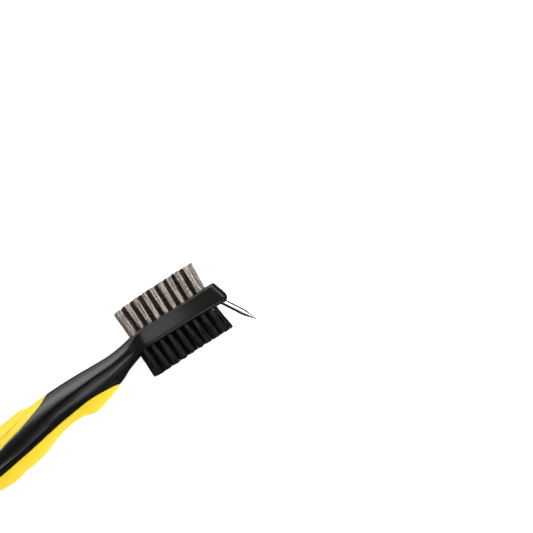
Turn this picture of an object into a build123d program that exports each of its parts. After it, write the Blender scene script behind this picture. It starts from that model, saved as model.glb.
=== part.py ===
from build123d import *
import math
import os

# Club groove brush: a one-piece moulded frame (head, neck and handle spine), two soft
# grips moulded over it, a steel groove spike, and two fields of tufts held in blind
# holes by flat anchors. Everything is in millimetres.
#
# Working frame: x runs along the head towards its tip, y points to the wire bristles,
# z runs across the head. The last step moves it all to the row frame, in which the
# brush lies on its flat side: origin at the centre of the footprint, +Z up.

# ---------------------------------------------------------------- driving dimensions
HEAD_HALF_T = 4.9        # half of the head's thickness, bristle face to bristle face
HEAD_HALF_W = 9.5        # half of the head's width
HEAD_LEFT = -19.0        # where the head's block starts at the neck
HEAD_TIP = 27.7          # the head's furthest point
HEAD_TOP_END = 25.2      # the end face leans: its upper edge is further back
HEAD_CORNER_R = 7.5      # plan-view corner radius at the neck end
TIP_CORNER_R = 2.6       # plan-view corner radius at the tip

COLUMNS = 9              # tufts along the outer rows and the middle one
PITCH = 4.6              # tuft pitch along the head
FIRST_X = -19.65         # first tuft of those rows
STAGGER_X = -21.8        # first tuft of the two rows between them, which hold one more
ROW_PITCH = 3.4          # pitch of the five rows across the head
HOLE_R = 1.25            # moulded tuft hole
HOLE_DEPTH = 4.1
TUFT_ROOT_R = 1.22       # a tuft's radius in its hole
STRAIGHT_TO = 6.6        # a tuft starts to spread this far from the mid-plane
WIRE_TIP_R = 1.5         # radius of a wire tuft at its trimmed end
NYLON_TIP_R = 1.95       # radius of a nylon tuft at its trimmed end
WIRE_TOP = 19.0          # trimmed height of the wire bristles above the mid-plane
NYLON_TOP = 18.0         # trimmed height of the nylon bristles
ANCHOR_W, ANCHOR_T, ANCHOR_L = 1.5, 0.35, 2.44   # flat anchor: height, thickness, length

SPIKE_R = 1.5
SPIKE_ROOT = (24.3, -4.9)    # where the spike leaves the head
SPIKE_TIP = (33.9, -20.69)
SPIKE_CONE = 6.9             # length of its ground point
SPIKE_SHANK = 8.0            # length held inside the head
BOSS_R = 2.35                # moulded collar at the spike's root

GRIP_T = 2.0             # thickness of the overmoulded grips
TAIL_X = -161.0
LANYARD = (-153.2, -16.9)    # centre of the lanyard hole
LANYARD_R = 2.6

# Outline of neck and handle seen from the side: top and bottom edge, half width, and
# the two lines that run along the flank: a valley and, below it, a ridge.
TOP = [(-161, -15.9), (-160.4, -14.6), (-159, -13.5), (-156.5, -12.5), (-153, -11.6), (-148, -10.7),
       (-142, -9.6), (-134, -7.8), (-126, -5.9), (-120, -4.4), (-115, -3.3), (-110, -2.2), (-105, -1.1),
       (-100, -0.2), (-96, 0.5), (-90, 1.2), (-85, 1.6), (-82.4, 1.75), (-80.6, 1.1), (-77, 1.2),
       (-73, 1.45), (-69, 1.8), (-65, 2.0), (-60, 2.1), (-54, 2.1), (-48, 1.9), (-42, 1.75),
       (-38, 1.7), (-34.5, 1.9), (-31, 2.3), (-27, 2.85), (-24, 3.4), (-21, 4.2), (-18, 4.65), (-14, 4.8), (-8, 4.8)]
BOTTOM = [(-161, -17.9), (-160.4, -19.2), (-159, -20.4), (-156.5, -21.4), (-153, -22.1), (-148, -22.6),
          (-142, -23.0), (-136, -23.4), (-130, -24.1), (-124, -25.1), (-118, -25.9), (-113, -26.4),
          (-108, -26.5), (-104, -26.1), (-100, -25.1), (-98.3, -24.65), (-96, -24.6), (-92, -23.9),
          (-88.5, -23.3), (-84.6, -22.1), (-80.8, -20.4), (-77, -19.0), (-73, -17.9), (-69, -17.1),
          (-65.4, -16.7), (-62, -16.8), (-58, -17.8), (-55.2, -18.3), (-52, -17.7), (-48, -16.6),
          (-44, -15.3), (-41, -14.0), (-38, -12.7), (-34.7, -11.3), (-31, -9.4), (-28, -8.3),
          (-25, -7.3), (-22, -6.4), (-19, -5.5), (-14, -4.8), (-8, -4.8)]
HALF_W = [(-161, 1.6), (-160.4, 3.3), (-159, 4.6), (-156.5, 5.6), (-153, 6.2), (-148, 6.8), (-142, 7.6),
          (-134, 8.45), (-126, 9.0), (-118, 9.35), (-108, 9.54), (-98, 9.54), (-88, 9.45), (-78, 9.3),
          (-68, 9.1), (-58, 8.8), (-50, 8.2), (-43, 7.4), (-38, 6.9), (-33, 6.6), (-29, 6.7), (-26, 7.1),
          (-23, 7.8), (-20, 8.5), (-17, 8.9), (-14, 9.0), (-8, 9.0)]
VALLEY = [(-161, -17.0), (-150, -17.2), (-140, -17.6), (-130, -17.6), (-120, -16.9), (-112, -15.7), (-105.7, -14.2),
          (-96, -11.6), (-86.5, -9.2), (-77, -7.3), (-67, -5.9), (-57.7, -4.5), (-48, -3.8), (-38.5, -3.0),
          (-31, -2.5), (-26.5, -1.9), (-23, -0.6), (-21, 0.5), (-18.3, 2.5), (-14.6, 3.4), (-8, 3.6)]
RIDGE = [(-161, -17.6), (-150, -18.6), (-140, -19.3), (-130, -19.4), (-120, -18.7), (-112, -17.6), (-105.7, -16.5),
         (-96, -15.1), (-86.5, -13.1), (-77, -11.2), (-67, -9.6), (-57.7, -8.5), (-48, -7.1), (-38.5, -5.9),
         (-31, -4.9), (-26.5, -4.4), (-19.3, -3.7), (-14, -3.3), (-8, -3.2)]
VALLEY_DEPTH = [(-161, 0.0), (-150, 0.2), (-140, 0.5), (-125, 0.9), (-105, 1.15), (-60, 1.1), (-35, 1.0), (-26, 0.8), (-20, 0.25), (-16, 0.0), (-8, 0.0)]
SQUARENESS = [(-161, 2.2), (-150, 2.3), (-130, 2.45), (-100, 2.6), (-60, 2.5), (-35, 2.4), (-27, 2.6), (-20, 4.5), (-14, 7.0), (-8, 7.0)]
# where each soft grip ends on the flank
THUMB_EDGE = [(-70.6, 2.6), (-72.0, 1.3), (-75, -0.4), (-78.9, -2.2), (-82.7, -3.5), (-86.5, -4.8), (-92.3, -6.5),
              (-98, -7.9), (-104, -9.6), (-110, -11.3), (-118, -13.0), (-126, -14.0), (-134, -14.1),
              (-140, -13.3), (-145, -11.9), (-149.5, -9.9)]
FINGER_EDGE = [(-38.0, -12.9), (-41, -12.15), (-45, -11.75), (-50, -11.5), (-55, -11.6), (-60, -12.15), (-65, -12.8),
               (-70, -13.5), (-76, -14.5), (-82, -15.55), (-88, -16.75), (-94, -17.85), (-100, -18.8), (-108, -20.1),
               (-116, -21.1), (-124, -21.8), (-132, -22.3), (-139, -22.8), (-145.5, -23.4)]


def at(table, x):
    """Monotone cubic value of a table at x."""
    t = sorted(table)
    if x <= t[0][0]:
        return t[0][1]
    if x >= t[-1][0]:
        return t[-1][1]
    n = len(t)
    i = max(k for k in range(n - 1) if t[k][0] <= x)
    h = [t[k + 1][0] - t[k][0] for k in range(n - 1)]
    d = [(t[k + 1][1] - t[k][1]) / h[k] for k in range(n - 1)]

    def slope(k):
        if k == 0:
            return d[0]
        if k == n - 1:
            return d[-1]
        if d[k - 1] * d[k] <= 0:
            return 0.0
        w1, w2 = 2 * h[k] + h[k - 1], h[k] + 2 * h[k - 1]
        return (w1 + w2) / (w1 / d[k - 1] + w2 / d[k])

    s = (x - t[i][0]) / h[i]
    m0, m1 = slope(i) * h[i], slope(i + 1) * h[i]
    return ((2 * s**3 - 3 * s**2 + 1) * t[i][1] + (s**3 - 2 * s**2 + s) * m0
            + (-2 * s**3 + 3 * s**2) * t[i + 1][1] + (s**3 - s**2) * m1)


def flank_cut(x, y):
    """How far the flank is sunk at height y: the valley, the rise to the ridge and the chamfer below it."""
    yc, yr, v = at(VALLEY, x), at(RIDGE, x), at(VALLEY_DEPTH, x)
    if v <= 0:
        return 0.0
    top = at(TOP, x)
    if y >= yc:
        u = min(1.0, (y - yc) / max(1.0, 0.55 * (top - yc)))
        return v * (1 - u * u * (3 - 2 * u))
    if y >= yr:
        return v * (y - yr) / max(0.5, yc - yr)
    return v * min(1.0, (yr - y) / 2.4)


def section(x, inset=0.0):
    """Half section of neck or handle at x, from the top over valley and ridge to the
    bottom, as three runs of (y, z) pairs that meet on the valley and the ridge."""
    top, bottom, w = at(TOP, x) - inset, at(BOTTOM, x) + inset, at(HALF_W, x) - inset
    mid, half, p = (top + bottom) / 2, (top - bottom) / 2, at(SQUARENESS, x)
    ridge = max(bottom + 0.12 * half, min(top - 0.12 * half, at(RIDGE, x)))
    valley = max(ridge + 0.05 * half, min(top - 0.06 * half, at(VALLEY, x)))

    def turn(y):
        c = (y - mid) / half
        return math.acos(math.copysign(abs(c) ** (p / 2), c))

    def point(a):
        c, s = math.cos(a), math.sin(a)
        y, z = mid + half * math.copysign(abs(c) ** (2 / p), c), w * abs(s) ** (2 / p)
        if inset == 0.0:
            z -= flank_cut(x, y) * min(1.0, z / (0.75 * w))
        return (y, max(z, 0.0))

    stops = [0.0, turn(valley), turn(ridge), math.pi]
    runs = [[point(p0 + (p1 - p0) * k / n) for k in range(n + 1)]
            for p0, p1, n in ((stops[0], stops[1], 8), (stops[1], stops[2], 3), (stops[2], stops[3], 7))]
    runs[0][0], runs[2][-1] = (top, 0.0), (bottom, 0.0)
    return runs


def loft_of(xs, inset=0.0):
    wires = []
    for x in xs:
        runs = section(x, inset)
        runs += [[(y, -z) for y, z in reversed(run)] for run in reversed(runs)]
        wires.append(Wire([Edge.make_spline([Vector(x, y, z) for y, z in run],
                                            parameters=[k / (len(run) - 1) for k in range(len(run))]) for run in runs]))
    return Solid.make_loft(wires, True)


def prism(edge, outside):
    """Everything on one side of a line on the flank, as a block through the whole width."""
    first, last = edge[0], edge[-1]
    line = Spline(*[(x, y) for x, y in edge])
    frame = Polyline((last[0], last[1]), (last[0], outside), (first[0], outside), (first[0], first[1]))
    return extrude(make_face(Wire([line.edge(), *frame.edges()])), amount=30, both=True)


def row_columns(row):
    """x of each tuft in a row: rows 1, 3 and 5 hold nine, and rows 2 and 4, staggered, ten."""
    if row % 2 == 0:
        return [FIRST_X + PITCH * k for k in range(COLUMNS)]
    return [STAGGER_X + PITCH * k for k in range(COLUMNS + 1)]


def row_z(row):
    return (row - 2) * ROW_PITCH


def trim(side, x):
    """Trimmed length of a tuft, measured from the mid-plane. The wire field is a little shorter at the neck."""
    if side < 0:
        return NYLON_TOP
    return WIRE_TOP - 1.2 * max(0.0, min(1.0, (-4.0 - x) / 17.0)) ** 1.5


def tuft(side, row, x):
    """One tuft: straight in its hole, then spreading to its trimmed end, with the slot of its anchor."""
    z, tip_r = row_z(row), WIRE_TIP_R if side > 0 else NYLON_TIP_R
    bottom = HEAD_HALF_T - HOLE_DEPTH
    top = trim(side, x)
    lean_x = (x / 20.5) * (0.5 if side > 0 else 0.35)
    lean_z = (z / (2 * ROW_PITCH)) * 0.35
    if side > 0 and abs(x - FIRST_X) < 0.1:
        lean_x -= 0.6
    if side < 0 and x < FIRST_X:
        lean_x += 0.5
    collar = STRAIGHT_TO
    root = Pos(x, side * (bottom + collar) / 2, z) * Rot(90, 0, 0) * Cylinder(TUFT_ROOT_R, collar - bottom)
    low = Plane(origin=(x, side * collar, z), x_dir=(1, 0, 0), z_dir=(0, side, 0))
    high = Plane(origin=(x + lean_x, side * top, z + lean_z), x_dir=(1, 0, 0), z_dir=(0, side, 0))
    spread = loft([low * Circle(TUFT_ROOT_R), high * Circle(tip_r)])
    slot = Pos(x, side * (bottom + ANCHOR_W / 2), z) * Rot(0, 45, 0) * Box(ANCHOR_L + 1, ANCHOR_W, ANCHOR_T)
    return (root + spread) - slot


def anchor(side, row, x):
    bottom = HEAD_HALF_T - HOLE_DEPTH
    return Pos(x, side * (bottom + ANCHOR_W / 2), row_z(row)) * Rot(0, 45, 0) * Box(ANCHOR_L, ANCHOR_W, ANCHOR_T)


# ---------------------------------------------------------------- spike
sx, sy = SPIKE_TIP[0] - SPIKE_ROOT[0], SPIKE_TIP[1] - SPIKE_ROOT[1]
SPIKE_LEN = math.hypot(sx, sy)
spike_dir = Vector(sx / SPIKE_LEN, sy / SPIKE_LEN, 0)
spike_plane = Plane(origin=(SPIKE_ROOT[0], SPIKE_ROOT[1], 0), x_dir=(0, 0, 1), z_dir=(spike_dir.X, spike_dir.Y, 0))
profile = [(0, -SPIKE_SHANK), (SPIKE_R - 0.35, -SPIKE_SHANK), (SPIKE_R, -SPIKE_SHANK + 0.35)]
for g in (-6.6, -4.6, -2.6):      # three retaining grooves that the plastic grips
    profile += [(SPIKE_R, g - 0.5), (SPIKE_R - 0.3, g - 0.25), (SPIKE_R - 0.3, g + 0.25), (SPIKE_R, g + 0.5)]
profile += [(SPIKE_R, SPIKE_LEN - SPIKE_CONE), (SPIKE_R * 0.55, SPIKE_LEN - SPIKE_CONE * 0.46),
            (0.12, SPIKE_LEN - 0.1), (0, SPIKE_LEN)]
spike = revolve(Plane.XZ * make_face(Polyline(*profile, close=True)), Axis.Z)
spike = spike_plane.location * spike

# ---------------------------------------------------------------- frame, grips
stations = ([-161, -160.4, -159, -156.5, -153, -149] + [-145 + 4 * k for k in range(28)]
            + [-34, -31, -28, -25, -22.5, -20, -17, -14, -10])
body = loft_of(stations)
inner = loft_of([-151, -148, -142, -134, -126, -118, -110, -102, -94, -86, -78, -70, -62, -55, -48, -41, -36.5, -34], GRIP_T)

# soft keys: the grips run through the spine here, which locks them to the frame
thumb_keys = [(-91, -2.7), (-108, -6.6), (-127, -10.4)]
finger_keys = [(-56, -14.1), (-84, -18.3), (-104, -22.2), (-122, -22.9)]
key_r = 1.3
spine = inner
for kx, ky in thumb_keys + finger_keys:
    spine = spine - Pos(kx, ky, 0) * Cylinder(key_r, 30)

thumb_grip = (body & prism(THUMB_EDGE, 12.0)) - spine
finger_grip = (body & prism(FINGER_EDGE, -36.0)) - spine

# head: a block with a leaning end face, rounded in plan, with a narrow bevel on the wire
# side and a broad one on the nylon side
def plan_wire(y, x0, x1, w, r0, r1):
    """Rounded outline of the head in plan at height y, larger radii at the neck end."""
    p = [(x0 + r0, -w), (x1 - r1, -w), (x1, -w + r1), (x1, w - r1), (x1 - r1, w), (x0 + r0, w), (x0, w - r0), (x0, -w + r0)]
    q = [Vector(x, y, z) for x, z in p]
    k0, k1 = r0 * (1 - math.sqrt(0.5)), r1 * (1 - math.sqrt(0.5))
    mids = [Vector(x1 - k1, y, -w + k1), Vector(x1 - k1, y, w - k1), Vector(x0 + k0, y, w - k0), Vector(x0 + k0, y, -w + k0)]
    return Wire([Edge.make_line(q[0], q[1]), Edge.make_three_point_arc(q[1], mids[0], q[2]), Edge.make_line(q[2], q[3]),
                 Edge.make_three_point_arc(q[3], mids[1], q[4]), Edge.make_line(q[4], q[5]),
                 Edge.make_three_point_arc(q[5], mids[2], q[6]), Edge.make_line(q[6], q[7]),
                 Edge.make_three_point_arc(q[7], mids[3], q[0])])


R0, R1, W = HEAD_CORNER_R, TIP_CORNER_R, HEAD_HALF_W + 0.03
T = HEAD_HALF_T
block = Solid.make_loft([
    plan_wire(-T, HEAD_LEFT + 1.2, HEAD_TIP - 2.0, W - 1.2, R0 - 1.2, R1),
    plan_wire(-2.7, HEAD_LEFT, HEAD_TIP, W, R0, R1),
    plan_wire(T - 0.9, HEAD_LEFT, HEAD_TOP_END + 0.35, W, R0, R1),
    plan_wire(T, HEAD_LEFT + 0.7, HEAD_TOP_END - 0.5, W - 0.7, R0 - 0.7, R1 - 0.5)], True)
block = block & Box(300, 100, 2 * HEAD_HALF_W)     # the flat sides, on which the brush lies

frame = body - thumb_grip - finger_grip
frame = frame + block
boss = spike_plane.location * (Pos(0, 0, -1.2) * Cone(BOSS_R + 0.5, BOSS_R - 0.45, 3.0))
frame = frame + boss
frame = frame - spike
holes = [Pos(x, side * (HEAD_HALF_T - HOLE_DEPTH + 6), row_z(row)) * Rot(90, 0, 0) * Cylinder(HOLE_R, 12)
         for side in (1, -1) for row in range(5) for x in row_columns(row)]
holes.append(Pos(LANYARD[0], LANYARD[1], 0) * Cylinder(LANYARD_R, 40))
frame = frame - holes

# ---------------------------------------------------------------- nodes
nodes = {"handle_frame": frame, "thumb_grip": thumb_grip, "finger_grip": finger_grip, "groove_spike": spike}
for row in range(5):
    nodes[f"wire_tufts_row_{row + 1}"] = Compound([tuft(1, row, x).solid() for x in row_columns(row)])
    nodes[f"nylon_tufts_row_{row + 1}"] = Compound([tuft(-1, row, x).solid() for x in row_columns(row)])
    nodes[f"wire_anchors_row_{row + 1}"] = Compound([anchor(1, row, x).solid() for x in row_columns(row)])
    nodes[f"nylon_anchors_row_{row + 1}"] = Compound([anchor(-1, row, x).solid() for x in row_columns(row)])

# row frame: centre of the footprint, lying on the head's flat side
shift = Pos(-(TAIL_X + SPIKE_TIP[0]) / 2, -(WIRE_TOP - 26.5) / 2, HEAD_HALF_W)
os.makedirs("parts", exist_ok=True)
for name, shape in nodes.items():
    solids = [s for s in (shift * shape).solids() if s.volume > 0.001]
    print(name, len(solids), round(sum(s.volume for s in solids), 2))
    export_step(Compound(solids) if len(solids) > 1 else solids[0], f"parts/{name}.step")
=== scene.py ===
import math
import random

import bpy
import bmesh
import numpy as np
from mathutils import Matrix, Vector


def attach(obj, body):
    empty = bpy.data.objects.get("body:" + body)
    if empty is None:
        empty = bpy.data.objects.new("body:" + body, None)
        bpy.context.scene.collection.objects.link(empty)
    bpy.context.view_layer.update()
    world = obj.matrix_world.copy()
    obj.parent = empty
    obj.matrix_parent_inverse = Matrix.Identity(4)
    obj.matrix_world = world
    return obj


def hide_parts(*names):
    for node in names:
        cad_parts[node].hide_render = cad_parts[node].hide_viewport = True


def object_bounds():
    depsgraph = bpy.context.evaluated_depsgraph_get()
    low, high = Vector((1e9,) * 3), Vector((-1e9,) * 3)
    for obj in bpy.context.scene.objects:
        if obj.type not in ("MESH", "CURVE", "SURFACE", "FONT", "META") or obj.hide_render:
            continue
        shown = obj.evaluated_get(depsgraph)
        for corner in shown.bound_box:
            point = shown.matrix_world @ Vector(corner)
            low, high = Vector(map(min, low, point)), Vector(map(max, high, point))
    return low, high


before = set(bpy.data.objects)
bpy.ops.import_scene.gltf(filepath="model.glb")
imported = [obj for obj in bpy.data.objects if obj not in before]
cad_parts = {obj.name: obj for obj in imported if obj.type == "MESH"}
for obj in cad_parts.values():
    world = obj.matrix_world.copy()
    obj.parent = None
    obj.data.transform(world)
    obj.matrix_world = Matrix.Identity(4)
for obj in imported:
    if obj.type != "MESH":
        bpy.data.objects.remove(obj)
cad_box = [list(map(float, corner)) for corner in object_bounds()]

# ------------------------------------------------------------------ shared shape tables
# Millimetres in the brush's own frame: x along the head to its tip, y to the wire
# bristles, z across the head. OFF takes it to the row frame.
LOW, HIGH = cad_box
OFF = np.array([LOW[0] * 1000 + 161.0, HIGH[1] * 1000 - 19.0, 9.5])

TOP = [(-161, -15.9), (-160.4, -14.6), (-159, -13.5), (-156.5, -12.5), (-153, -11.6), (-148, -10.9),
       (-142, -10.1), (-134, -8.5), (-126, -6.6), (-120, -5.1), (-115, -4.0), (-110, -2.9), (-105, -1.8),
       (-100, -0.85), (-96, -0.15), (-90, 0.55), (-85, 0.95), (-80.6, 1.12), (-77, 1.3),
       (-73, 1.6), (-69, 1.9), (-65, 2.0), (-60, 2.1), (-54, 2.1), (-48, 1.9), (-42, 1.75),
       (-38, 1.7), (-34.5, 1.9), (-31, 2.3), (-27, 2.95), (-24, 3.6), (-21, 4.3), (-18, 4.75), (-14, 4.9), (-8, 4.9)]
BOTTOM = [(-161, -17.9), (-160.4, -19.2), (-159, -20.4), (-156.5, -21.4), (-153, -22.1), (-148, -22.6),
          (-142, -23.0), (-136, -23.4), (-130, -24.1), (-124, -25.1), (-118, -25.9), (-113, -26.4),
          (-108, -26.5), (-104, -26.1), (-100, -25.1), (-98.3, -24.65), (-96, -24.6), (-92, -23.9),
          (-88.5, -23.3), (-84.6, -22.1), (-80.8, -20.4), (-77, -19.0), (-73, -17.9), (-69, -17.1),
          (-65.4, -16.7), (-62, -16.8), (-58, -17.8), (-55.2, -18.3), (-52, -17.7), (-48, -16.6),
          (-44, -15.3), (-41, -14.0), (-38, -12.7), (-34.7, -11.3), (-31, -9.4), (-28, -8.3),
          (-25, -7.3), (-22, -6.3), (-19, -5.4), (-14, -4.9), (-8, -4.9)]
HALF_W = [(-161, 1.6), (-160.4, 3.3), (-159, 4.6), (-156.5, 5.6), (-153, 6.2), (-148, 6.8), (-142, 7.6),
          (-134, 8.45), (-126, 9.0), (-118, 9.35), (-108, 9.54), (-98, 9.54), (-88, 9.45), (-78, 9.3),
          (-68, 9.1), (-58, 8.8), (-50, 8.2), (-43, 7.4), (-38, 6.9), (-33, 6.6), (-29, 6.7), (-26, 7.1),
          (-23, 7.8), (-20, 8.6), (-17, 9.2), (-14, 9.5), (-8, 9.5)]
VALLEY = [(-161, -17), (-150, -17.2), (-140, -17.6), (-130, -17.6), (-120, -16.9), (-112, -15.8),
          (-105.7, -14.4), (-96, -12.3), (-86.5, -9.8), (-77, -7.6), (-67, -6.0), (-57.7, -5.1),
          (-48, -4.3), (-38.5, -3.8), (-31, -2.9), (-26.5, -2.2), (-23, -0.3), (-20, 1.6), (-17, 3),
          (-14, 3.7), (-8, 3.75)]
RIDGE = [(-161, -17.6), (-150, -18.6), (-140, -19.3), (-130, -19.4), (-120, -18.7), (-112, -17.6),
         (-105.7, -16.8), (-96, -15.6), (-86.5, -13.8), (-77, -12.0), (-67, -10.8), (-57.7, -10.1),
         (-48, -9.2), (-38.5, -7.6), (-31, -5.8), (-26.5, -4.9), (-19.3, -3.5), (-14, -3.0), (-8, -3.0)]
VALLEY_DEPTH = [(-161, 0.0), (-150, 0.2), (-140, 0.5), (-125, 0.65), (-105, 0.7), (-88, 0.82), (-76, 1.1), (-66, 1.22), (-56, 1.1),
                (-35, 0.9), (-26, 0.8), (-20, 0.25), (-16, 0.0), (-8, 0.0)]
SQUARENESS = [(-161, 2.2), (-150, 2.3), (-130, 2.45), (-100, 2.6), (-60, 2.5), (-35, 2.4), (-27, 2.6), (-20, 4.0),
              (-14, 6.0), (-8, 6.0)]
SQUARENESS_TOP = [(-161, 2.2), (-150, 2.2), (-130, 2.2), (-100, 2.15), (-60, 2.08), (-35, 2.08), (-27, 2.4), (-20, 4.0),
                  (-14, 6.0), (-8, 6.0)]
THUMB_EDGE = [(-70.6, 2.6), (-72.0, 1.3), (-75, -0.4), (-78.9, -2.2), (-82.7, -3.5), (-86.5, -4.8), (-92.3, -6.5),
              (-98, -7.9), (-104, -9.6), (-110, -11.3), (-118, -13.0), (-126, -14.0), (-134, -14.1),
              (-140, -13.3), (-145, -11.9), (-149.5, -9.9)]
FINGER_EDGE = [(-38.0, -12.9), (-41, -12.15), (-45, -11.75), (-50, -11.5), (-55, -11.6), (-60, -12.15), (-65, -12.8),
               (-70, -13.5), (-76, -14.5), (-82, -15.55), (-88, -16.75), (-94, -17.85), (-100, -18.8), (-108, -20.1),
               (-116, -21.1), (-124, -21.8), (-132, -22.3), (-139, -22.8), (-145.5, -23.4)]
HALF_T, HALF_HEAD = 4.9, 9.5
COLUMNS, PITCH, FIRST_X, STAGGER_X, ROW_PITCH = 9, 4.6, -19.65, -21.8, 3.4
HOLE_R, HOLE_DEPTH = 1.25, 4.1
WIRE_TOP, NYLON_TOP = 19.0, 18.0
SPIKE_ROOT, SPIKE_TIP = (24.3, -4.9), (33.9, -20.69)
LANYARD, LANYARD_R = (-153.2, -16.9), 2.6


def at(table, x):
    """Monotone cubic value of a table at x."""
    t = sorted(table)
    if x <= t[0][0]:
        return t[0][1]
    if x >= t[-1][0]:
        return t[-1][1]
    n = len(t)
    i = max(k for k in range(n - 1) if t[k][0] <= x)
    h = [t[k + 1][0] - t[k][0] for k in range(n - 1)]
    d = [(t[k + 1][1] - t[k][1]) / h[k] for k in range(n - 1)]

    def slope(k):
        if k == 0:
            return d[0]
        if k == n - 1:
            return d[-1]
        if d[k - 1] * d[k] <= 0:
            return 0.0
        w1, w2 = 2 * h[k] + h[k - 1], h[k] + 2 * h[k - 1]
        return (w1 + w2) / (w1 / d[k - 1] + w2 / d[k])

    s = (x - t[i][0]) / h[i]
    m0, m1 = slope(i) * h[i], slope(i + 1) * h[i]
    return ((2 * s**3 - 3 * s**2 + 1) * t[i][1] + (s**3 - 2 * s**2 + s) * m0
            + (-2 * s**3 + 3 * s**2) * t[i + 1][1] + (s**3 - s**2) * m1)


def smooth(t):
    t = max(0.0, min(1.0, t))
    return t * t * (3 - 2 * t)


class Section:
    """Half section of the handle at x: point(a) runs from the top, a = 0, to the bottom, a = pi."""

    def __init__(self, x):
        self.x = x
        self.top, self.bottom, self.w = at(TOP, x), at(BOTTOM, x), at(HALF_W, x)
        self.mid, self.half = (self.top + self.bottom) / 2, (self.top - self.bottom) / 2
        self.p, self.p_top, self.v = at(SQUARENESS, x), at(SQUARENESS_TOP, x), at(VALLEY_DEPTH, x)
        self.soft = smooth((x + 82.0) / 14.0)      # how softly the middle facet turns at its ridge
        self.ridge = max(self.bottom + 0.12 * self.half, min(self.top - 0.12 * self.half, at(RIDGE, x)))
        self.valley = max(self.ridge + 0.05 * self.half, min(self.top - 0.06 * self.half, at(VALLEY, x)))

    def cut(self, y):
        if self.v <= 0:
            return 0.0
        if y >= self.valley:
            u = min(1.0, (y - self.valley) / min(1.3, 0.4 * (self.top - self.valley)))
            return self.v * (1 - u) ** 2
        if y >= self.ridge:
            t = (self.valley - y) / max(0.5, self.valley - self.ridge)
            return self.v * (1 - (1 - self.soft) * t ** 2 - self.soft * smooth(t ** 1.3))
        u = min(1.0, (self.ridge - y) / 2.6)
        return self.v * u * u * (3 - 2 * u)

    def turn(self, y):
        c = max(-1.0, min(1.0, (y - self.mid) / self.half))
        return math.acos(math.copysign(abs(c) ** ((self.p_top if c > 0 else self.p) / 2), c))

    def point(self, a):
        c, s = math.cos(a), math.sin(a)
        p = self.p_top if c > 0 else self.p
        y = self.mid + self.half * math.copysign(abs(c) ** (2 / p), c)
        z = self.w * abs(s) ** (2 / p)
        z -= self.cut(y) * min(1.0, z / (0.75 * self.w))
        return y, max(z, 0.0)

    def run(self, a0, a1, n, dense=8):
        """n + 1 points from a0 to a1, evenly spaced along the line."""
        pts = np.array([self.point(a0 + (a1 - a0) * k / (n * dense)) for k in range(n * dense + 1)])
        step = np.hypot(*np.diff(pts, axis=0).T)
        s = np.concatenate([[0], np.cumsum(step)])
        want = np.linspace(0, s[-1], n + 1)
        return np.column_stack([np.interp(want, s, pts[:, 0]), np.interp(want, s, pts[:, 1])])


# ------------------------------------------------------------------ mesh helpers
ROOT = "root"


def to_row(points):
    return (np.asarray(points, float) + OFF) / 1000.0


def new_object(name, verts, faces, material, sharp=30, weld=None):
    """A closed mesh object in the row frame from vertices in millimetres of the brush's frame."""
    me = bpy.data.meshes.new(name)
    me.from_pydata([tuple(v) for v in to_row(verts)], [], [tuple(f) for f in faces])
    bm = bmesh.new()
    bm.from_mesh(me)
    if weld:
        bmesh.ops.remove_doubles(bm, verts=bm.verts, dist=weld)
    loose = [v for v in bm.verts if not v.link_faces]
    if loose:
        bmesh.ops.delete(bm, geom=loose, context="VERTS")
    bmesh.ops.recalc_face_normals(bm, faces=bm.faces)
    if bm.calc_volume(signed=True) < 0:
        bmesh.ops.reverse_faces(bm, faces=bm.faces)
    bm.to_mesh(me)
    bm.free()
    me.materials.append(material)
    ob = bpy.data.objects.new(name, me)
    bpy.context.scene.collection.objects.link(ob)
    finish_shading(ob, sharp)
    return ob


def finish_shading(ob, sharp):
    me = ob.data
    me.shade_smooth()
    me.set_sharp_from_angle(angle=math.radians(sharp))
    me.update()


def apply_modifier(ob, mod):
    bpy.context.view_layer.objects.active = ob
    for o in bpy.context.selected_objects:
        o.select_set(False)
    ob.select_set(True)
    bpy.ops.object.modifier_apply(modifier=mod.name)


def grid_faces(rows, columns, closed):
    faces = []
    last = columns if closed else columns - 1
    for i in range(rows - 1):
        for j in range(last):
            k = (j + 1) % columns
            faces.append((i * columns + j, i * columns + k, (i + 1) * columns + k, (i + 1) * columns + j))
    return faces


def edge_line(table, count=700):
    xs = [t[0] for t in table]
    x = np.linspace(min(xs), max(xs), count)
    return np.column_stack([x, [at(table, v) for v in x]])


THUMB_LINE, FINGER_LINE = edge_line(THUMB_EDGE), edge_line(FINGER_EDGE)


def inside_distance(line, sign, x, y):
    """Distance from (x, y) to a grip's edge line, positive on the grip's side."""
    dx = line[:, 0][None, :] - np.atleast_1d(x)[:, None]
    dy = line[:, 1][None, :] - np.atleast_1d(y)[:, None]
    d = np.sqrt((dx * dx + dy * dy).min(axis=1))
    level = np.interp(x, line[:, 0], line[:, 1])
    inside = (np.sign(np.asarray(y) - level) == sign) & (x > line[0, 0]) & (x < line[-1, 0])
    return np.where(inside, d, -d)


def smooth_array(t):
    t = np.clip(t, 0, 1)
    return t * t * (3 - 2 * t)


# ------------------------------------------------------------------ materials
def material(name):
    mat = bpy.data.materials.new(name)
    mat.use_nodes = True
    nt = mat.node_tree
    nt.nodes.clear()
    out = nt.nodes.new("ShaderNodeOutputMaterial")
    bsdf = nt.nodes.new("ShaderNodeBsdfPrincipled")
    nt.links.new(bsdf.outputs["BSDF"], out.inputs["Surface"])
    return mat, nt, bsdf


def coords(nt, scale=(1, 1, 1)):
    tex = nt.nodes.new("ShaderNodeTexCoord")
    mapping = nt.nodes.new("ShaderNodeMapping")
    mapping.inputs["Scale"].default_value = scale
    nt.links.new(tex.outputs["Object"], mapping.inputs["Vector"])
    return mapping.outputs["Vector"]


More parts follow.
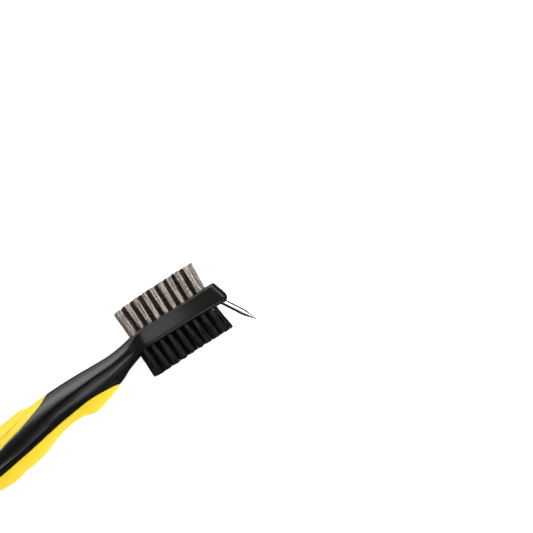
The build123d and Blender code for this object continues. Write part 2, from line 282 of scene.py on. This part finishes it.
def noise(nt, vector, scale, detail=3.0, roughness=0.5):
    n = nt.nodes.new("ShaderNodeTexNoise")
    n.inputs["Scale"].default_value = scale
    n.inputs["Detail"].default_value = detail
    n.inputs["Roughness"].default_value = roughness
    nt.links.new(vector, n.inputs["Vector"])
    return n.outputs["Fac"]


def ramp(nt, fac, stops):
    r = nt.nodes.new("ShaderNodeValToRGB")
    r.color_ramp.elements[0].position, r.color_ramp.elements[0].color = stops[0][0], (*stops[0][1], 1)
    r.color_ramp.elements[1].position, r.color_ramp.elements[1].color = stops[-1][0], (*stops[-1][1], 1)
    for pos, col in stops[1:-1]:
        e = r.color_ramp.elements.new(pos)
        e.color = (*col, 1)
    nt.links.new(fac, r.inputs["Fac"])
    return r.outputs["Color"]


def remap(nt, fac, low, high, a=0.3, b=0.7):
    m = nt.nodes.new("ShaderNodeMapRange")
    m.inputs["From Min"].default_value, m.inputs["From Max"].default_value = a, b
    m.inputs["To Min"].default_value, m.inputs["To Max"].default_value = low, high
    nt.links.new(fac, m.inputs["Value"])
    return m.outputs["Result"]


def bump(nt, height, bsdf, strength, distance):
    b = nt.nodes.new("ShaderNodeBump")
    b.inputs["Strength"].default_value = strength
    b.inputs["Distance"].default_value = distance
    nt.links.new(height, b.inputs["Height"])
    nt.links.new(b.outputs["Normal"], bsdf.inputs["Normal"])
    return b


def add_values(nt, a, b, share):
    m = nt.nodes.new("ShaderNodeMath")
    m.operation = "MULTIPLY_ADD"
    nt.links.new(b, m.inputs[0])
    m.inputs[1].default_value = share
    nt.links.new(a, m.inputs[2])
    return m.outputs[0]


def black_plastic():
    """Satin moulded plastic: near-black with a fine spark-eroded grain and faint handling marks."""
    mat, nt, bsdf = material("black_moulded_plastic")
    v = coords(nt)
    cloud = noise(nt, v, 55, 4)
    colour = ramp(nt, cloud, [(0.3, (0.0030, 0.0029, 0.0028)), (0.7, (0.0056, 0.0053, 0.0050))])
    nt.links.new(colour, bsdf.inputs["Base Color"])
    smear = noise(nt, coords(nt, (0.35, 1.6, 1.6)), 160, 5, 0.6)
    nt.links.new(remap(nt, smear, 0.30, 0.38), bsdf.inputs["Roughness"])
    grain = noise(nt, v, 3200, 2)
    broad = noise(nt, v, 420, 3)
    bump(nt, add_values(nt, grain, broad, 0.6), bsdf, 0.16, 0.00012)
    bsdf.inputs["Specular IOR Level"].default_value = 0.55
    return mat


def yellow_rubber():
    """Soft elastomer: warm yellow with faint mottling and a fine matte grain."""
    mat, nt, bsdf = material("yellow_soft_grip")
    v = coords(nt)
    cloud = noise(nt, v, 70, 4, 0.55)
    colour = ramp(nt, cloud, [(0.25, (0.78, 0.545, 0.022)), (0.5, (0.80, 0.585, 0.031)), (0.8, (0.82, 0.615, 0.042))])
    nt.links.new(colour, bsdf.inputs["Base Color"])
    smear = noise(nt, v, 210, 4)
    nt.links.new(remap(nt, smear, 0.46, 0.58), bsdf.inputs["Roughness"])
    grain = noise(nt, v, 2600, 3)
    broad = noise(nt, v, 500, 3)
    bump(nt, add_values(nt, grain, broad, 0.8), bsdf, 0.22, 0.00016)
    bsdf.inputs["Specular IOR Level"].default_value = 0.35
    return mat


def bright_steel():
    """Polished steel pin with a very fine noise grain in its colour and bump."""
    mat, nt, bsdf = material("polished_steel")
    v = coords(nt)
    fine = noise(nt, v, 900, 3)
    colour = ramp(nt, fine, [(0.3, (0.62, 0.61, 0.60)), (0.7, (0.76, 0.75, 0.74))])
    nt.links.new(colour, bsdf.inputs["Base Color"])
    bsdf.inputs["Metallic"].default_value = 1.0
    nt.links.new(remap(nt, noise(nt, v, 400, 4), 0.10, 0.20), bsdf.inputs["Roughness"])
    bump(nt, fine, bsdf, 0.05, 0.00004)
    return mat


def wire_steel(name, share):
    """Crimped wire: dull grey-brown steel, lighter on the worn crests, darker in patches. The
    inner rows, share < 1, get a darker, duller copy of these tones: painted shade for the shadow between the tufts."""
    mat, nt, bsdf = material(name)
    v = coords(nt)
    streak = noise(nt, coords(nt, (1.0, 0.03, 1.0)), 2600, 1)
    speckle = noise(nt, coords(nt, (1.0, 0.6, 1.0)), 2400, 2, 0.6)
    patch = remap(nt, add_values(nt, streak, speckle, 0.8), 0.0, 1.0, 0.70, 1.10)
    tones = [(0.05, (0.09, 0.075, 0.064)), (0.5, (0.50, 0.43, 0.38)), (0.95, (1.0, 0.90, 0.83))]
    # share < 1 darkens the tones and dulls metallic and specular: painted shade for the inner rows
    colour = ramp(nt, patch, [(at_, tuple(min(0.95, share * c) for c in tone)) for at_, tone in tones])
    nt.links.new(colour, bsdf.inputs["Base Color"])
    bsdf.inputs["Metallic"].default_value = 0.5 if share == 1 else 0.1
    bsdf.inputs["Specular IOR Level"].default_value = 0.5 * share
    nt.links.new(remap(nt, noise(nt, v, 2200, 2), 0.28, 0.46), bsdf.inputs["Roughness"])
    return mat


def black_nylon():
    """Nylon filament: black, slightly glossy, a little greyer where it is worn."""
    mat, nt, bsdf = material("black_nylon")
    v = coords(nt)
    streak = noise(nt, coords(nt, (1.0, 0.06, 1.0)), 3000, 1)
    colour = ramp(nt, streak, [(0.35, (0.0035, 0.0035, 0.0034)), (0.7, (0.010, 0.010, 0.0095))])
    nt.links.new(colour, bsdf.inputs["Base Color"])
    nt.links.new(remap(nt, streak, 0.52, 0.24, 0.38, 0.62), bsdf.inputs["Roughness"])
    bsdf.inputs["Specular IOR Level"].default_value = 0.55
    return mat


def anchor_brass():
    """Flat strip metal, sheared from coil, with a dull brassy surface."""
    mat, nt, bsdf = material("anchor_strip")
    v = coords(nt)
    cloud = noise(nt, v, 800, 3)
    colour = ramp(nt, cloud, [(0.3, (0.52, 0.38, 0.16)), (0.7, (0.72, 0.56, 0.28))])
    nt.links.new(colour, bsdf.inputs["Base Color"])
    bsdf.inputs["Metallic"].default_value = 1.0
    nt.links.new(remap(nt, cloud, 0.3, 0.5), bsdf.inputs["Roughness"])
    bump(nt, noise(nt, coords(nt, (0.2, 1, 1)), 3000, 2), bsdf, 0.2, 0.00005)
    return mat


BLACK, YELLOW, STEEL = black_plastic(), yellow_rubber(), bright_steel()
# the second wire material is a darker copy, painted shade for the inner rows that lie in the shadow of the outer ones
WIRE, WIRE_INNER_SHADED = wire_steel("crimped_wire", 1.0), wire_steel("crimped_wire_inner_painted_shade", 0.42)
NYLON, BRASS = black_nylon(), anchor_brass()


# ------------------------------------------------------------------ black frame
N_U, N_M, N_L = 30, 10, 26


def head_half():
    """The head's half section as three runs: top face and its edge, flat side, lower bevel and face."""
    flat = [(HALF_T, 7.5 * k / 21) for k in range(22)]
    chamfer = [(4.88, 7.62), (4.76, 7.90), (4.56, 8.34), (4.36, 8.78), (4.18, 9.17), (4.08, 9.35), (4.00, 9.44), (3.92, 9.48), (3.80, 9.50)]
    upper = flat + chamfer
    side_lo = -3.0
    side = [(3.80 + (side_lo - 3.80) * k / N_M, HALF_HEAD) for k in range(1, N_M + 1)]
    bevel = [(-3.15, 9.485), (-3.35, 9.43), (-3.65, 9.27), (-4.0, 9.03), (-4.35, 8.72), (-4.65, 8.36), (-4.84, 8.02), (-HALF_T, 7.6)]
    low = bevel + [(-HALF_T, 7.6 * (1 - k / 18)) for k in range(1, 19)]
    return np.array(upper + side + low)


HEAD_HALF = head_half()


def half_loop(x):
    """Half loop of the frame at x, N_U + N_M + N_L + 1 points from top to bottom."""
    share = smooth((x + 23.0) / 10.0)
    if share >= 1:
        return HEAD_HALF.copy()
    s = Section(x)
    a, b = s.turn(s.valley), s.turn(s.ridge)
    pts = np.vstack([s.run(0, a, N_U)[:-1], s.run(a, b, N_M)[:-1], s.run(b, math.pi, N_L)])
    pts[0, 1] = pts[-1, 1] = 0.0
    return pts * (1 - share) + HEAD_HALF * share if share > 0 else pts


def full_loop(half):
    back = half[1:-1][::-1].copy()
    back[:, 1] *= -1
    return np.vstack([half, back])


def frame_mesh():
    xs = list(np.concatenate([[-161, -160.75, -160.4, -159.9, -159.3], np.arange(-158.6, -12.9, 0.45)]))
    xs += [-12.0, -9, -6, -3, 0, 3, 6, 9, 12, 14, 16, 18, 20, 21.5]
    loops = []
    for x in xs:
        loop = full_loop(half_loop(x))
        loops.append(np.column_stack([np.full(len(loop), x), loop]))
    # leaning, rounded end of the head
    end = full_loop(HEAD_HALF)
    y, z = end[:, 0], end[:, 1]
    r_top, r_side, r_low = 0.9, 2.6, 3.4
    wy, wz = y / HALF_T, np.abs(z) / HALF_HEAD
    r_y = np.where(y > 0, r_top, r_low)
    reach = ((np.abs(wy) ** 5 * r_y) ** 4 + (wz ** 5 * r_side) ** 4) ** 0.25
    for turn in [0, 12, 24, 36, 48, 58, 68, 78, 90]:
        t = math.radians(turn)
        drop = 1 - math.cos(t)
        yy = y - np.sign(y) * np.abs(wy) * r_y * drop
        zz = z * (1 - r_side * drop / HALF_HEAD)
        lean = 27.7 - 0.342 * (yy + 2.4)
        loops.append(np.column_stack([lean - reach * (1 - math.sin(t)), yy, zz]))
    base = np.array(loops)
    rows, cols = base.shape[:2]
    # the head thickens a little towards its far end
    base[:, :, 1] *= 1 + 0.09 * smooth_array((base[:, :, 0] - 6.0) / 15.0)

    # sink under the grips, and a soft dip along their edges
    flat = base.reshape(-1, 3)
    along = np.gradient(base, axis=0)
    round_ = np.roll(base, -1, axis=1) - np.roll(base, 1, axis=1)
    normal = np.cross(along, round_)
    normal /= np.maximum(np.linalg.norm(normal, axis=2, keepdims=True), 1e-9)
    centre = base.mean(axis=1, keepdims=True)
    flip = np.sign(((base - centre) * normal).sum(axis=2, keepdims=True))
    flip[flip == 0] = 1
    normal *= flip
    depth = np.zeros(len(flat))
    for line, sign in ((THUMB_LINE, 1), (FINGER_LINE, -1)):
        near = (flat[:, 0] > line[0, 0] - 2) & (flat[:, 0] < line[-1, 0] + 2)
        d = np.full(len(flat), -9.0)
        d[near] = inside_distance(line, sign, flat[near, 0], flat[near, 1])
        depth = np.maximum(depth, np.where(d < 0, 0.16 * smooth_array((d + 0.4) / 0.4), 0.16 + 1.45 * smooth_array(d / 1.3)))
    moved = flat - normal.reshape(-1, 3) * depth[:, None]
    verts = list(map(tuple, moved))
    faces = grid_faces(rows, cols, True)
    # close both ends with rings that shrink to a centre
    for start, ring0 in ((0, moved[:cols]), ((rows - 1) * cols, moved[-cols:])):
        centre = ring0.mean(axis=0)
        if start:
            centre = np.array([27.7 - 0.342 * (ring0[:, 1].mean() + 2.4), ring0[:, 1].mean(), 0.0])
        before = list(range(start, start + cols))
        for shrink in (0.75, 0.45, 0.2):
            ring = centre + (ring0 - centre) * shrink
            now = list(range(len(verts), len(verts) + cols))
            verts += list(map(tuple, ring))
            faces += [(before[j], before[(j + 1) % cols], now[(j + 1) % cols], now[j]) for j in range(cols)]
            before = now
        verts.append(tuple(centre))
        faces += [(before[j], before[(j + 1) % cols], len(verts) - 1) for j in range(cols)]
    return verts, faces


def cylinder_cutter(bm, centre, axis, r, lo, hi, sides=28, flare=0.0):
    """Adds a closed cylinder along axis from lo to hi to bm, in row metres. flare widens it at its mouth, hi."""
    axis = Vector(axis).normalized()
    side = axis.orthogonal().normalized()
    other = axis.cross(side)
    rings = []
    for t, rr in ((lo, r), (hi, r + flare)):
        rings.append([bm.verts.new((Vector(centre) + axis * t + side * rr * math.cos(a) + other * rr * math.sin(a)) / 1000.0)
                      for a in [2 * math.pi * k / sides for k in range(sides)]])
    for j in range(sides):
        k = (j + 1) % sides
        bm.faces.new((rings[0][j], rings[0][k], rings[1][k], rings[1][j]))
    bm.faces.new(rings[0][::-1])
    bm.faces.new(rings[1])


def row_columns(row):
    if row % 2 == 0:
        return [FIRST_X + PITCH * k for k in range(COLUMNS)]
    return [STAGGER_X + PITCH * k for k in range(COLUMNS + 1)]


def row_z(row):
    return (row - 2) * ROW_PITCH


def build_frame():
    verts, faces = frame_mesh()
    ob = new_object("handle_frame_moulding", verts, faces, BLACK, sharp=32)
    cut = bmesh.new()
    for side in (1, -1):
        for row in range(5):
            for x in row_columns(row):
                cylinder_cutter(cut, np.array([x, 0, row_z(row)]) + OFF, (0, side, 0), HOLE_R, HALF_T - HOLE_DEPTH, 9.0)
    cylinder_cutter(cut, np.array([LANYARD[0], LANYARD[1], 0]) + OFF, (0, 0, 1), LANYARD_R, -12, 12, sides=64)
    d = Vector((SPIKE_TIP[0] - SPIKE_ROOT[0], SPIKE_TIP[1] - SPIKE_ROOT[1], 0)).normalized()
    cylinder_cutter(cut, np.array([SPIKE_ROOT[0], SPIKE_ROOT[1], 0]) + OFF, d, 1.53, -8.6, 4.0, sides=40)
    me = bpy.data.meshes.new("cutters")
    bmesh.ops.recalc_face_normals(cut, faces=cut.faces)
    cut.to_mesh(me)
    cut.free()
    cutter = bpy.data.objects.new("cutters", me)
    bpy.context.scene.collection.objects.link(cutter)
    mod = ob.modifiers.new("holes", "BOOLEAN")
    mod.operation, mod.solver, mod.object = "DIFFERENCE", "EXACT", cutter
    apply_modifier(ob, mod)
    bpy.data.objects.remove(cutter)
    bm = bmesh.new()
    bm.from_mesh(ob.data)
    bmesh.ops.remove_doubles(bm, verts=bm.verts, dist=1e-6)
    bmesh.ops.dissolve_degenerate(bm, edges=bm.edges, dist=1e-6)
    bm.to_mesh(ob.data)
    bm.free()
    finish_shading(ob, 32)
    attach(ob, ROOT)
    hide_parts("handle_frame")
    return ob


MOULDING = build_frame()


# ------------------------------------------------------------------ yellow grips
def grip(name, node, line, sign):
    """A grip as a closed skin: its outer surface follows the handle, and its rim is rounded into the frame."""
    lo, hi = line[0, 0], line[-1, 0]
    # find where the line crosses the outline
    xs = np.linspace(lo, hi, 1400)
    rim = np.interp(xs, line[:, 0], line[:, 1])
    outline = np.array([at(TOP if sign > 0 else BOTTOM, x) for x in xs])
    ok = xs[(outline - rim) * sign > 0]
    a, b = ok.min(), ok.max()
    rows = 400
    t = (1 - np.cos(np.linspace(0, math.pi, rows))) / 2
    even = np.linspace(0, 1, rows)
    stations = a + (b - a) * (0.75 * even + 0.25 * t)
    cols = 84
    base = np.zeros((rows, cols + 1, 3))
    for i, x in enumerate(stations):
        s = Section(x)
        turn = s.turn(float(np.interp(x, line[:, 0], line[:, 1])))
        if sign > 0:
            half = s.run(0, max(turn, 1e-4), cols // 2)
        else:
            half = s.run(math.pi, min(turn, math.pi - 1e-4), cols // 2)
        half[0, 1] = 0.0
        for k in range(cols // 2 + 1):
            base[i, cols // 2 + k] = (x, half[k, 0], half[k, 1])
            base[i, cols // 2 - k] = (x, half[k, 0], -half[k, 1])
    along = np.gradient(base, axis=0)
    round_ = np.gradient(base, axis=1)
    normal = np.cross(along, round_)
    length = np.linalg.norm(normal, axis=2, keepdims=True)
    normal = np.where(length > 1e-7, normal / np.maximum(length, 1e-9), np.array([0, sign, 0]))
    mid = np.array([[(x, (at(TOP, x) + at(BOTTOM, x)) / 2, 0)] for x in stations])
    flip = np.sign(((base - mid) * normal).sum(axis=2, keepdims=True))
    flip[flip == 0] = 1
    normal *= flip
    flat = base.reshape(-1, 3)
    d = np.abs(inside_distance(line, sign, flat[:, 0], flat[:, 1])).reshape(rows, cols + 1)
    d[:, 0] = d[:, -1] = 0
    d[0], d[-1] = 0, 0
    outer = 0.05 * smooth_array(d / 0.8) - 0.3 * np.clip(1 - d / 0.42, 0, 1) ** 2
    if sign > 0:      # the raised thumb pad, its step further from the rim at the head end
        step = 2.75 + 1.9 * smooth_array((base[:, :, 0] + 90.0) / 7.0)
        outer = outer + 0.85 * smooth_array((d - step) / 0.5)
    inner = -0.3 - 1.2 * smooth_array(d / 1.3)
    top = base + normal * outer[:, :, None]
    under = base + normal * inner[:, :, None]
    for i in (0, -1):      # both ends run out to a point
        top[i] = under[i] = top[i].mean(axis=0)
    verts = np.vstack([top.reshape(-1, 3), under.reshape(-1, 3)])
    faces = grid_faces(rows, cols + 1, False)
    shift = rows * (cols + 1)
    faces += [tuple(v + shift for v in f[::-1]) for f in grid_faces(rows, cols + 1, False)]
    ob = new_object(name, verts, faces, YELLOW, sharp=40, weld=2e-6)
    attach(ob, ROOT)
    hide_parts(node)
    return ob


grip("thumb_grip_skin", "thumb_grip", THUMB_LINE, 1)
grip("finger_grip_skin", "finger_grip", FINGER_LINE, -1)


# ------------------------------------------------------------------ bristles
def tubes(paths, radii, sides):
    """Closed tubes along the given paths, (n, 3) arrays in millimetres, as one vertex and face list."""
    verts, faces, start = [], [], 0
    angle = 2 * math.pi * np.arange(sides) / sides
    for path, r in zip(paths, radii):
        n = len(path)
        tangent = np.gradient(path, axis=0)
        tangent /= np.linalg.norm(tangent, axis=1, keepdims=True)
        ref = np.array([1.0, 0.0, 0.0])
        u = ref - tangent * (tangent @ ref)[:, None]
        u /= np.linalg.norm(u, axis=1, keepdims=True)
        w = np.cross(tangent, u)
        ring = path[:, None, :] + r * (np.cos(angle)[None, :, None] * u[:, None, :] + np.sin(angle)[None, :, None] * w[:, None, :])
        verts.append(ring.reshape(-1, 3))
        i = np.arange(n - 1)[:, None] * sides
        j = np.arange(sides)[None, :]
        k = (j + 1) % sides
        quads = np.stack([i + j, i + k, i + sides + k, i + sides + j], axis=-1).reshape(-1, 4) + start
        faces += quads.tolist()
        faces.append([start + s for s in range(sides)][::-1])
        faces.append([start + (n - 1) * sides + s for s in range(sides)])
        start += n * sides
    return np.vstack(verts), faces


def sunflower(count, radius, rng, jitter):
    pts = []
    for k in range(count):
        r = radius * math.sqrt((k + 0.5) / count)
        a = k * 2.399963
        pts.append((r * math.cos(a) + rng.uniform(-jitter, jitter), r * math.sin(a) + rng.uniform(-jitter, jitter)))
    return pts


def trim(side, x):
    if side < 0:
        return NYLON_TOP + 0.9 * max(0.0, min(1.0, (4.0 - x) / 24.0))
    return WIRE_TOP + 0.35 * max(0.0, min(1.0, (x - 4.0) / 12.0)) - 1.2 * max(0.0, min(1.0, (-4.0 - x) / 17.0)) ** 1.5


def bristle_row(side, row, columns, suffix, mat):
    rng = random.Random(f"{side} {row} {suffix}")
    paths, radii = [], []
    z0 = row_z(row)
    for x0 in columns:
        lean_x = (x0 / 20.5) * (0.5 if side > 0 else 0.35)
        lean_z = (z0 / (2 * ROW_PITCH)) * 0.35
        if side > 0 and abs(x0 - FIRST_X) < 0.1:
            lean_x -= 0.6
        if side < 0:
            lean_x += 1.5 if x0 < FIRST_X else 0.7
        lean_x += rng.uniform(-0.15, 0.15) if side > 0 else rng.uniform(-0.6, 0.6)
        top0 = trim(side, x0) + rng.uniform(-0.1, 0.2)
        if side > 0:
            count, root_r, spread, r, loose = 19, 0.99, 1.29, 0.18, 0.09
        else:
            count, root_r, spread, r, loose = 20, 1.02, 1.75, 0.18, 0.3
        for dx, dz in sunflower(count, root_r, rng, 0.05):
            if side > 0:
                top = top0 + rng.uniform(-0.4, 0.05) - 0.55 * (dx * dx + dz * dz) / root_r ** 2
            else:
                top = top0 + rng.uniform(-0.75, 0.3) - 0.35 * (dx * dx + dz * dz) / root_r ** 2
            far = spread * (1 + rng.uniform(-0.08, 0.08))
            bend_x, bend_z = rng.uniform(-loose, loose), rng.uniform(-loose, loose)
            if side > 0:
                n = 34
                t = np.linspace(0, 1, n)
                y = 2.6 + (top - 2.6) * t
                free = np.clip((y - HALF_T) / (top - HALF_T), 0, 1)
                phase, wave = rng.uniform(0, 6.28), rng.uniform(1.75, 2.15)
                plane = rng.uniform(0, math.pi)
                amp = 0.085 * np.clip(free * 6, 0, 1)
                crimp = amp * np.sin(2 * math.pi * y / wave + phase)
                px = x0 + dx * (1 + (far - 1) * free ** 1.1) + lean_x * free ** 1.2 + bend_x * free ** 2 + crimp * math.cos(plane)
                pz = z0 + dz * (1 + (far - 1) * free ** 1.1) + lean_z * free ** 1.2 + bend_z * free ** 2 + crimp * math.sin(plane)
            else:
                n = 9
                t = np.linspace(0, 1, n)
                y = 2.6 + (top - 2.6) * t
                free = np.clip((y - HALF_T) / (top - HALF_T), 0, 1)
                px = x0 + dx * (1 + (far - 1) * free) + lean_x * free ** 1.2 + bend_x * free ** 2
                pz = z0 + dz * (1 + (far - 1) * free) + lean_z * free ** 1.2 + bend_z * free ** 2
            pz = np.clip(pz, -9.2, 9.2)
            paths.append(np.column_stack([px, side * y, pz]))
            radii.append(r)
    verts, faces = tubes(paths, radii, 5 if side > 0 else 6)
    kind = "wire" if side > 0 else "nylon"
    ob = new_object(f"{kind}_bristles_row_{row + 1}{suffix}", verts, faces, mat, sharp=60)
    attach(ob, ROOT)
    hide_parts(f"{kind}_tufts_row_{row + 1}")
    return ob


WIRE_ROWS, INNER_ROWS = [], []
for row in range(5):
    columns = row_columns(row)
    if row in (0, 4):
        WIRE_ROWS.append(bristle_row(1, row, columns, "", WIRE))
    else:      # the inner rows' end tufts get the full wire colour; their other tufts get the darker copy, painted shade for the gaps between the tufts
        INNER_ROWS.append(bristle_row(1, row, columns[1:-1], "", WIRE_INNER_SHADED))
        WIRE_ROWS.append(bristle_row(1, row, [columns[0], columns[-1]], "_ends", WIRE))
    bristle_row(-1, row, columns, "", NYLON)

# ------------------------------------------------------------------ carried-over CAD nodes
for node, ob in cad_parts.items():
    if node == "groove_spike":
        mat = STEEL
    elif "anchors" in node:
        mat = BRASS
    else:
        continue
    ob.data.materials.clear()
    ob.data.materials.append(mat)

# ------------------------------------------------------------------ stage, light and camera
TILT = math.radians(31.7)
VIEW_CENTRE = (np.array([51.07, -1.63, 0]) + OFF) / 1000.0

floor_mat, nt, bsdf = material("studio_floor")
bsdf.inputs["Base Color"].default_value = (0.9, 0.9, 0.9, 1)
bsdf.inputs["Roughness"].default_value = 0.9
bsdf.inputs["Specular IOR Level"].default_value = 0.0
bsdf.inputs["Emission Color"].default_value = (1, 1, 1, 1)
bsdf.inputs["Emission Strength"].default_value = 0.72
me = bpy.data.meshes.new("studio_floor")
me.from_pydata([(-6, -6, -0.0002), (6, -6, -0.0002), (6, 6, -0.0002), (-6, 6, -0.0002)], [], [(0, 1, 2, 3)])
me.materials.append(floor_mat)
floor = bpy.data.objects.new("studio_floor", me)
bpy.context.scene.collection.objects.link(floor)
floor.visible_glossy = floor.visible_shadow = False


def area_light(name, turn, polar, reach, size, radiance, glossy=True, diffuse=True):
    """A soft rectangular light aimed at the brush: turn degrees round from the head's axis
    towards the wire side, polar degrees down from overhead, reach metres away."""
    centre = Vector((0.02, 0.0, 0.01))
    a, p = math.radians(turn), math.radians(polar)
    data = bpy.data.lights.new(name, "AREA")
    data.shape = "RECTANGLE"
    data.size, data.size_y = size
    data.energy = radiance * math.pi * size[0] * size[1]
    ob = bpy.data.objects.new(name, data)
    ob.location = centre + reach * Vector((math.cos(a) * math.sin(p), math.sin(a) * math.sin(p), math.cos(p)))
    ob.rotation_euler = (centre - ob.location).to_track_quat("-Z", "Y").to_euler()
    bpy.context.scene.collection.objects.link(ob)
    ob.visible_glossy, ob.visible_diffuse = glossy, diffuse
    return ob


def only_on(light, objects):
    """Keeps a light to the given objects, as a flag beside the lamp would."""
    group = bpy.data.collections.new(light.name + "_receivers")
    for ob in objects:
        group.objects.link(ob)
    light.light_linking.receiver_collection = group
    light.visible_camera = False


SHOWN = [ob for ob in bpy.context.scene.objects if ob.type == "MESH" and ob not in INNER_ROWS]

area_light("key", 88, 64, 0.65, (1.0, 0.55), 3.8, diffuse=False)
area_light("side", 24, 40, 1.0, (0.5, 0.4), 4.0, diffuse=False)
only_on(area_light("soft_tail", 183, 66, 0.8, (0.6, 0.4), 8.4, glossy=False), SHOWN)
only_on(area_light("soft_tip", 5, 66, 0.8, (0.6, 0.4), 13.5, glossy=False), SHOWN)
only_on(area_light("soft_wire_side", 90, 78, 0.9, (1.0, 0.3), 4.6, glossy=False), SHOWN)
area_light("soft_nylon_side", -90, 74, 0.9, (1.0, 0.4), 3.7, glossy=False)
only_on(area_light("wire_rim", 5, 70, 0.8, (0.6, 0.4), 8.5, glossy=False), WIRE_ROWS)
only_on(area_light("wire_tips", 90, 86, 0.6, (0.5, 0.14), 5.0, glossy=False), INNER_ROWS)
only_on(area_light("low_edge", 90, 106, 0.5, (1.2, 0.34), 1.2, diffuse=False), [MOULDING])
bevel_strip = area_light("bevel_strip", -90, 56, 0.05, (0.055, 0.008), 3.0, diffuse=False)
bevel_strip.location += Vector(to_row([2, -3.5, 0])) - Vector((0.02, 0.0, 0.01))
only_on(bevel_strip, [MOULDING])
only_on(area_light("spike_strip", 31.3, 25, 0.3, (0.5, 0.5), 1.45, diffuse=False), [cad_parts["groove_spike"]])
sheen = area_light("sheen", 0, 0, 0.045, (0.032, 0.014), 1.9, diffuse=False)
sheen.location = Vector(to_row([-13, 0.5, 0])) + Vector((0, 0, 0.045))
sheen.rotation_euler = (0, 0, 0)
only_on(sheen, [MOULDING])

world = bpy.data.worlds.new("studio_world")
bpy.context.scene.world = world
world.use_nodes = True
world.node_tree.nodes["Background"].inputs["Color"].default_value = (1, 1, 1, 1)
world.node_tree.nodes["Background"].inputs["Strength"].default_value = 0.035

cam_data = bpy.data.cameras.new("camera")
cam = bpy.data.objects.new("camera", cam_data)
DISTANCE = 1.5
cam_data.sensor_fit = "HORIZONTAL"
cam_data.sensor_width = 36
cam_data.lens = 36 * (DISTANCE - 0.0125) / 0.2558
cam_data.clip_end = 30
cam.location = (VIEW_CENTRE[0], VIEW_CENTRE[1], DISTANCE)
cam.rotation_euler = (0, 0, -TILT)
bpy.context.scene.collection.objects.link(cam)
bpy.context.scene.camera = cam
bpy.context.scene.view_settings.view_transform = "Standard"
bpy.context.scene.view_settings.look = "None"
